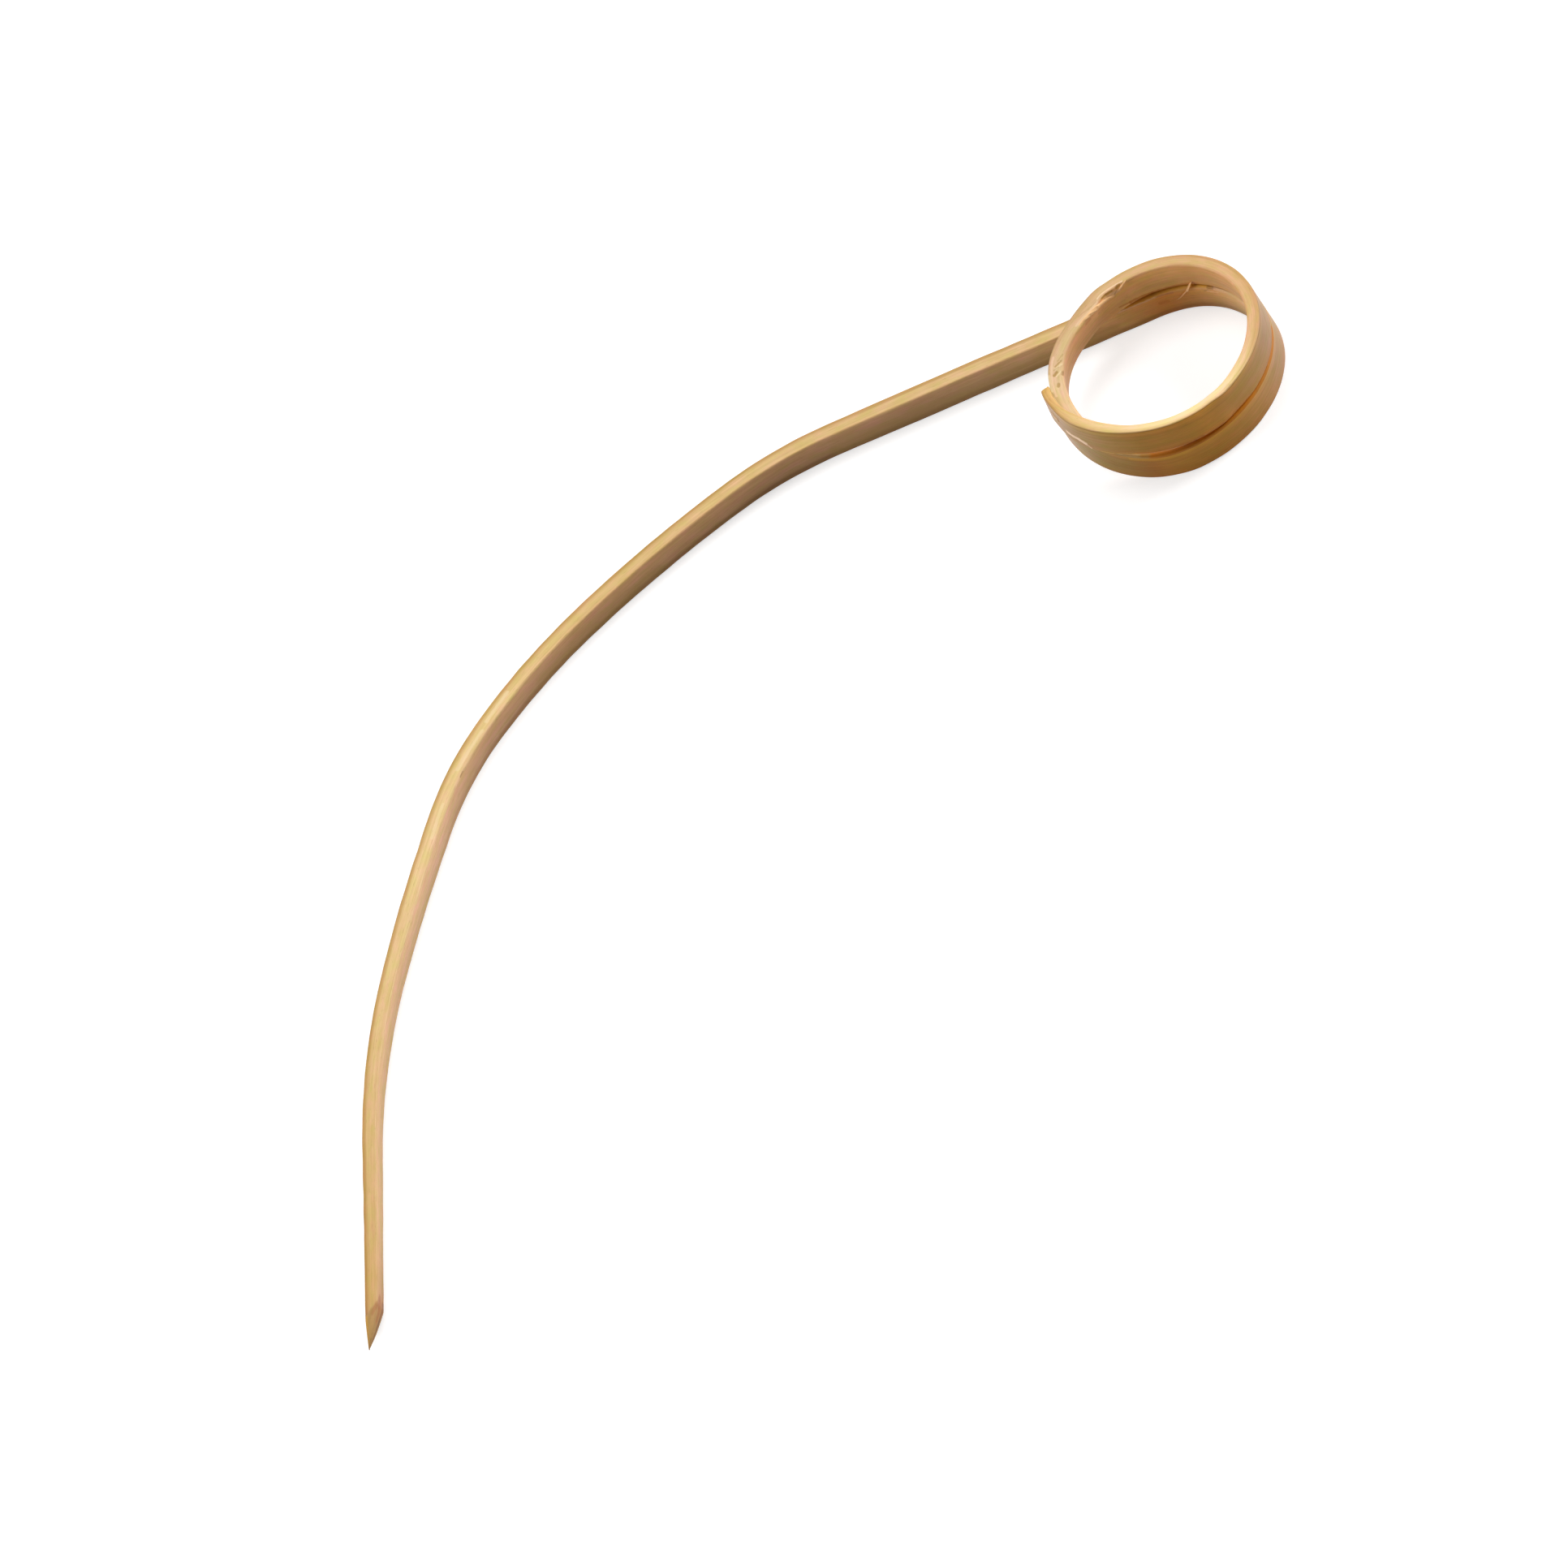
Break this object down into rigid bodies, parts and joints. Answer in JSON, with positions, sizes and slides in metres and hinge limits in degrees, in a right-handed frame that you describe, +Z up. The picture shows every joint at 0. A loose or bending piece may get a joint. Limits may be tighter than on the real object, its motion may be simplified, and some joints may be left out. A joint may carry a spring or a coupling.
{
  "type": "bamboo skewer",
  "caption": "Flat split-bamboo skewer with a pared point, a bowed stem and a finger loop coiled flat over its own stem.",
  "frame": {"origin": "middle of the outline seen from above, on the surface it lies on", "axes": "+X from the point to the loop, +Z up across the strip's width"},
  "size_m": [0.1406, 0.0522, 0.0086],
  "materials": {
    "bamboo": "satin, bare split bamboo"
  },
  "bodies": {
    "root": {"skewer": "bamboo"}
  },
  "joints": []
}
